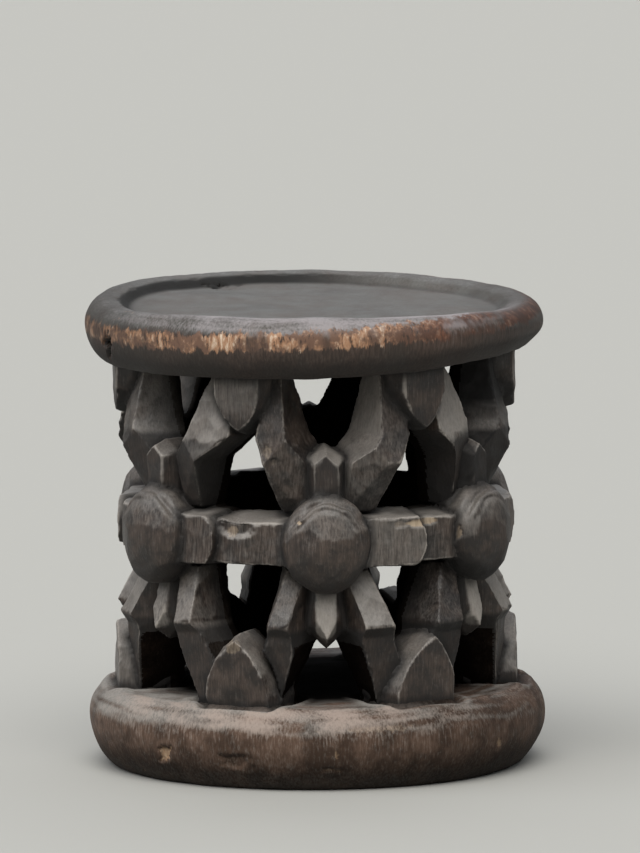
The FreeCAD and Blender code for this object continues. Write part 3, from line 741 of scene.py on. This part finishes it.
def toneSeat(piece, wear, blotch):
    points = piece.points
    streaks = ringStreaks(points, rimStreaks, cloudShift["seatStreak"])
    rub = smoothStep(points[:, 2], mm(rimRubAndSheen["low"]), mm(rimRubAndSheen["high"]))
    rub *= smoothStep(piece.radius, mm(rimRubAndSheen["inner"]), mm(rimRubAndSheen["outer"])) * azimuthShare(points, rimRubAndSheen)
    rub *= rimRubAndSheen["usual"] + rimRubAndSheen["patchy"] * blotch + rimRubAndSheen["streaky"] * streaks
    fine = cloudNoise(points, dishDustAndSheen["fineSize"], cloudShift["dish"])
    blotch = dishDustAndSheen["patchy"] * blotch + dishDustAndSheen["fine"] * fine + dishDustAndSheen["usual"]
    # Darker towards the sides, and painted shade on the left wall of the dish
    sides = smoothStep(np.abs(points[:, 0]), mm(rimSideDarkening["from"]), mm(rimSideDarkening["to"]))
    wall = smoothStep(-piece.outward, *wallShade["facing"])
    wall *= 1 - smoothStep(points[:, 0], mm(wallShade["from"]), mm(wallShade["to"]))
    piece.grime = np.maximum(rimSideDarkening["most"] * sides, wallShade["most"] * wall)
    return np.maximum(wear, rub), blotch, 0


blotchSize = 26   # mm
crestWear = {"usual": 0.8, "patchy": 0.9, "lift": 0.6, "facing": (-0.2, 0.5)}
wearShares = {"spider_2_lower_left_leg": 0.35, "spider_6_lower_right_leg": 0.6, "base_pendants": 0.75}
dustAndLightLook = {"usual": 0.85, "patchy": 0.5, "lip": 0.5}
# How much of the usual dust and painted light an element holds
dustAndLightShares = {
    "_body": 0.55, "_side_leg": 1.3, "_head": 1.4, "base_pendants": 0.7,
    "spider_1_upper_left_leg": 0.1, "spider_1_upper_right_leg": 0.1, "spider_1_lower_left_leg": 0.52,
    "spider_2_upper_left_leg": 1.8, "spider_2_lower_left_leg": 0.2, "spider_2_lower_right_leg": 1.4,
    "spider_2_head": 0.4, "spider_6_upper_right_leg": 1.4, "spider_6_lower_left_leg": 1.3,
    "spider_6_lower_right_leg": 0.6, "spider_6_head": 0.5,
}
# Pale flanks, painted light where they face the lamp: the side that they face, left (-1) or right (1), and
# how much
paleFlank = {"spider_1_upper_right_leg": (-1, 0.8), "spider_2_body": (-1, 0.7)}
flankFacing = {"aside": (0.25, 0.6), "up": (-0.1, 0.3)}
# Outer faces painted paler, as painted light: left (-1), right (1) or all (0), how much, and how far from
# the middle they start (mm)
paleFaces = {
    "_side_leg": (0, 0.1, 0), "spider_1_right_side_leg": (0, 0.28, 0),
    "spider_1_upper_left_leg": (0, 0.12, 0), "spider_1_upper_right_leg": (0, 0.3, 0),
    "seat_pendants": (-1, 0.4, 0), "base_pendants": (-1, 0.6, 125),
}
faceFacing = {"most": (0.75, 0.95), "base_pendants": (0.2, 0.5), "fade": 20}
# The two upper legs that catch the light in front: a painted highlight, as the least dust and light, on
# their outer faces above the knee
kiteHighlight = {"spider_6_upper_right_leg": 0.65, "spider_2_upper_left_leg": 0.95}
kiteFacing = (0.45, 0.75)
# The pale tongue of a tail, which is painted light, and its dark tip (mm)
tailFace = {"half": 8.3, "end": 132, "fade": 1.2, "facing": (0.2, 0.5), "dust": 1.2, "wear": 0.7,
            "tip": 123, "tipFade": 2, "tipSoot": 0.7}
tailShares = {"spider_6_tail": 0.55}
pendantTone = {"low": 298, "high": 320, "darkening": 0.35}   # the pendants under the seat darken to the tip, mm
# Below these heights (mm) the legs' flanks are painted dark as shade, and their outer faces a little
knees = {"upper": 284, "lower": 130, "fade": 3, "over": 8, "upperSoot": 0.85, "lowerSoot": 0.82,
         "upperOuter": 0.64, "lowerOuter": 0.5, "outerFacing": (0.7, 0.92)}
frontKnee = 0.1    # the share of that painted shade on the front spider's upper legs


def pendantTip(piece):
    return 1 - smoothStep(piece.points[:, 2], mm(pendantTone["low"]), mm(pendantTone["high"]))


def aboveKnee(piece):
    return smoothStep(piece.points[:, 2], mm(knees["upper"]), mm(knees["upper"] + knees["over"]))


# Dust and painted light on what faces up, painted light on the faces that the lamps reach, and fibre rubbed
# pale on the edges, with painted sheen on the rubbed rims
def dustWearAndLight(piece):
    name, points, normals = piece.name, piece.points, piece.normals
    blotch = cloudNoise(points, blotchSize, cloudShift["blotch"])
    wear = piece.crest * (crestWear["usual"] + crestWear["patchy"] * blotch)
    wear *= smoothStep(piece.outward + crestWear["lift"] * normals[:, 2], *crestWear["facing"])
    wear *= wearShares.get(name, 1)
    piece.grime = np.zeros(len(points))
    foot = 0
    if name == "base":
        wear, blotch, foot = toneBase(piece, wear, blotch)
    if name == "seat":
        wear, blotch, foot = toneSeat(piece, wear, blotch)
    dust = piece.upward * (dustAndLightLook["usual"] + dustAndLightLook["patchy"] * blotch) + dustAndLightLook["lip"] * piece.lip
    dust = np.maximum(dust, foot)
    for ending, share in dustAndLightShares.items():
        if name.endswith(ending):
            dust *= share
    if name in paleFlank:
        side, share = paleFlank[name]
        flank = smoothStep(side * (normals @ spiderAxes(name)[0]), *flankFacing["aside"])
        if name.endswith("_body"):
            flank *= smoothStep(normals[:, 2], *flankFacing["up"])
        dust = np.maximum(dust, share * flank)
    for ending, (side, share, start) in paleFaces.items():
        if name.endswith(ending):
            face = share * smoothStep(piece.outward, *faceFacing.get(name, faceFacing["most"]))
            if side:
                fade = faceFacing["fade"]
                face *= smoothStep(side * points[:, 0], mm(start - fade), mm(start + fade))
            if "_upper_" in name:
                face *= 1 - piece.upward
            dust = dust + face
    if name == "seat_pendants":
        dust *= 1 - pendantTip(piece)
    if name in kiteHighlight:
        kite = kiteHighlight[name] * aboveKnee(piece) * smoothStep(piece.outward, *kiteFacing)
        dust = np.maximum(dust, kite)
    if name.endswith("_tail"):
        aside = (points @ spiderAxes(name).T)[:, 0]
        apart = np.hypot(aside, np.maximum(mm(tailFace["end"]) - points[:, 2], 0))
        half, fade = tailFace["half"], tailFace["fade"]
        tongue = 1 - smoothStep(apart, mm(half - fade), mm(half + fade))
        tongue *= tailShares.get(name, 1) * smoothStep(piece.outward, *tailFace["facing"])
        dust = np.maximum(dust, tailFace["dust"] * tongue)
        wear = np.maximum(wear, tailFace["wear"] * tongue)
    storeField(piece.mesh, "wear", wear)
    storeField(piece.mesh, "dust", dust)
    storeField(piece.mesh, "bare", piece.bare)


hollowSootAndShade = {"clean": 156, "black": 116}   # radii between which smoke and painted shade blacken the drum, mm
frontSootAndShade = {"clean": 128, "black": 104}    # and the front spider, where it starts deeper
seatUnder = (-0.1, 0.4)                     # how far the seat's skin faces down where it is black with soot and painted shade
# What faces inward is painted black with soot and shade, and so are the flanks, from one radius to another
# (mm)
backSootAndShade = {"most": 0.9, "facing": (0.2, 0.7), "flank": (-0.25, 0.3), "deep": 138, "shallow": 160}
# Painted shade on what faces down
underShade = {"most": 0.75, "facing": (0.05, 0.55)}
# Painted shade on an element's outer faces, but not on what faces up
shadeShares = {
    "seat_pendants": 0.2, "base_pendants": 0.1, "_head": 0.55, "_side_leg": -0.15,
    "spider_1_lower_left_leg": 0.1, "spider_1_lower_right_leg": 0.12, "spider_2_upper_right_leg": 0.3,
    "spider_2_lower_left_leg": 0.35, "spider_2_body": 0.25, "spider_2_head": 0.28, "spider_6_head": -0.2,
}
shadeUp = (0.3, 0.6)
# The front spider's upper legs: painted shade on their outer faces above the knee
faceShade = {"spider_1_upper_left_leg": 0.25, "spider_1_upper_right_leg": 0.35}
faceShadeFacing = (0.6, 0.8)
seatShadow = {"spider_2_upper_right_leg": 0.9}   # painted shadow of the seat: legs painted black from above the knee up to the seat
seatShadowRise = 34                              # mm
# Painted shade in the creases where elements touch, and in the hollows of the skin
creaseShade, concaveShade = 0.85, 0.4
# The matt flanks of the lower legs: how far below the knee they start (mm), and which way they face
shinMatt = {"start": 4, "full": 16, "facing": (0.42, 0.82), "soften": 16}
mattFrom = 0.8


# Soot and painted shade in the hollow of the drum, painted shade on what faces down, in the creases, under
# the seat and on the legs below their knees
def sootAndShadeOver(piece):
    name, points, normals, outward = piece.name, piece.points, piece.normals, piece.outward
    crease = 1 - smoothStep(piece.nearest, 0.0, mm(contact["shadeReach"]))
    darkening = frontSootAndShade if name.startswith("spider_1_") else hollowSootAndShade
    inside = 1 - smoothStep(piece.radius, mm(darkening["black"]), mm(darkening["clean"]))
    if name == "seat":
        inside *= smoothStep(-normals[:, 2], *seatUnder)
    elif name != "base":
        inside = np.maximum(inside, backSootAndShade["most"] * smoothStep(-outward, *backSootAndShade["facing"]))
        if not name.startswith("spider_1_"):
            flank = 1 - smoothStep(piece.radius, mm(backSootAndShade["deep"]), mm(backSootAndShade["shallow"]))
            flank *= smoothStep(-outward, *backSootAndShade["flank"])
            inside = np.maximum(inside, backSootAndShade["most"] * flank)
    under = underShade["most"] * smoothStep(-normals[:, 2], *underShade["facing"])
    if name.endswith("_tail"):
        tip, fade = tailFace["tip"], tailFace["tipFade"]
        below = 1 - smoothStep(points[:, 2], mm(tip - fade), mm(tip + fade))
        under = np.maximum(under, tailFace["tipSoot"] * below)
    if name == "seat_pendants":
        under = np.maximum(under, pendantTone["darkening"] * pendantTip(piece))
    for part in ("upper", "lower"):
        if f"_{part}_" in name:
            knee, fade = knees[part], knees["fade"]
            strut = 1 - smoothStep(points[:, 2], mm(knee - fade), mm(knee + fade))
            strut *= 1 - (1 - knees[part + "Outer"]) * smoothStep(outward, *knees["outerFacing"])
            held = frontKnee if name.startswith("spider_1_upper") else 1
            under = np.maximum(under, held * knees[part + "Soot"] * strut)
    if name in seatShadow:
        rise = smoothStep(points[:, 2], mm(knees["upper"]), mm(knees["upper"] + seatShadowRise))
        under = np.maximum(under, seatShadow[name] * rise)
    if name in faceShade:
        face = faceShade[name] * aboveKnee(piece) * smoothStep(outward, *faceShadeFacing)
        under = np.maximum(under, face)
    for ending, share in shadeShares.items():
        if name.endswith(ending):
            under = under + share * (1 - smoothStep(normals[:, 2], *shadeUp))
    clean = (1 - creaseShade * crease) * (1 - concaveShade * piece.hollow) * (1 - inside) * (1 - under)
    clean *= (1 - piece.dark) * (1 - piece.grime)
    storeField(piece.mesh, "soot", 1 - clean)
    piece.matt = np.maximum(inside, piece.dark)
    if "_lower_" in name:
        knee = knees["lower"]
        shin = 1 - smoothStep(points[:, 2], mm(knee - shinMatt["full"]), mm(knee - shinMatt["start"]))
        shin *= piece.links.soften(1 - smoothStep(outward, *shinMatt["facing"]), shinMatt["soften"])
        piece.matt = np.maximum(piece.matt, shin)


# Satin wood, and a matt finish where the soot and painted shade are thick
def finishPiece(piece, slotName):
    mesh = piece.mesh
    mesh.polygons.foreach_set("use_smooth", np.ones(len(mesh.polygons), dtype=bool))
    mesh.materials.clear()
    mesh.materials.append(woods[slotName])
    mesh.materials.append(mattWoods[slotName])
    corners = np.empty(len(mesh.loops), dtype=np.int64)
    mesh.loops.foreach_get("vertex_index", corners)
    starts = np.empty(len(mesh.polygons), dtype=np.int64)
    mesh.polygons.foreach_get("loop_start", starts)
    matted = piece.matt[corners[starts]] > mattFrom
    mesh.polygons.foreach_set("material_index", matted.astype(np.int32))
    finished = bpy.data.objects.new("carved_" + piece.name, mesh)
    scene.collection.objects.link(finished)
    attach(finished, "root")
    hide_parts(piece.name)


def carve(name, style, slotName, scars=()):
    piece = Element(name, style)
    shapeByHand(piece)
    cutSkin(piece, scars)
    dustWearAndLight(piece)
    sootAndShadeOver(piece)
    finishPiece(piece, slotName)


seatScars = [
    {"at": (-171, -85, 363), "half": (3.5, 20, 4.5), "depth": 5.0, "dark": 1.0},   # knot hole at the left
    {"at": (-169, -87, 354), "half": (1.8, 20, 15), "depth": 3.0, "dark": 0.9},    # check below it
    {"at": (-81, 136, 378), "half": (15, 14, 3.0), "depth": 2.0, "dark": 0.9},     # gouge in the dish wall
    {"at": (-142, -84, 383), "half": (17, 12, 5), "depth": 0.4, "bare": 0.75},     # rubbed patch on the rim
]
baseScars = [
    {"at": (-126, -140, 28), "half": (5.5, 20, 6.5), "depth": 2.0, "bare": 1.0},
    {"at": (-69, -176, 25), "half": (12, 20, 7), "depth": 1.4, "bare": 0.25},
    {"at": (-145, -121, 7), "half": (9, 20, 2.2), "depth": 0.5, "bare": 0.6},
    {"at": (17, -189, 32), "half": (2.2, 20, 6), "depth": 0.6, "bare": 0.6},
    {"at": (14, -188, 19), "half": (11, 20, 2), "depth": 0.5, "bare": 0.4},
    {"at": (151, -114, 29), "half": (2.2, 20, 5.5), "depth": 0.6, "bare": 0.6},
    {"at": (52, -180, 52), "half": (48, 20, 3.6), "depth": 0.4, "bare": 0.4},
]
drumScars = {
    "spider_1_upper_left_leg": [
        {"at": (-40, -163, 279), "half": (5, 20, 8), "depth": 1.0, "bare": 0.45, "ragged": 0.6},
        {"at": (-34, -163, 272), "half": (5, 20, 4), "depth": 0.8, "bare": 0.3}],
    "spider_1_right_side_leg": [
        {"at": (88, -140, 217.5), "half": (18, 30, 4.2), "depth": 1.2, "bare": 1.0, "ragged": 0.3},
        {"at": (70, -140, 217), "half": (8, 30, 4), "depth": 1.0, "bare": 0.4, "ragged": 0.5}],
    "spider_2_left_side_leg": [
        {"at": (94, -140, 217.5), "half": (14, 30, 4.2), "depth": 1.0, "bare": 0.9, "ragged": 0.3}],
    "spider_1_left_side_leg": [
        {"at": (-69, -148, 215), "half": (20, 30, 9), "depth": 3.0, "bare": 0.15, "ragged": 0.25},
        {"at": (-72, -148, 212), "half": (7, 30, 5), "depth": 0.4, "bare": 0.55, "ragged": 0.6}],
    "spider_1_body": [{"at": (-15, -165, 224), "half": (2, 30, 2.2), "depth": 0.4, "bare": 1.0}],
    "spider_2_body": [{"at": (118, -110, 207), "half": (2.5, 30, 6), "depth": 0.8, "bare": 0.8}],
    "base_pendants": [
        {"at": (-69, -150, 116), "half": (9, 30, 8), "depth": 0.6, "bare": 0.5, "ragged": 0.35}],
}
carve("seat", discCarving, "seat_wood", seatScars)
carve("base", discCarving, "base_wood", baseScars)
print("seat and base carved")
elements = ["body", "head", "tail", "left_side_leg", "right_side_leg",
            "upper_left_leg", "upper_right_leg", "lower_left_leg", "lower_right_leg"]
for number in range(1, spiderCount + 1):
    for element in elements:
        name = f"spider_{number}_{element}"
        carve(name, drumCarving, "openwork_wood", drumScars.get(name, ()))
    print("spider", number, "carved")
for name in ("seat_pendants", "base_pendants"):
    carve(name, drumCarving, "openwork_wood", drumScars.get(name, ()))
print("pendants carved")
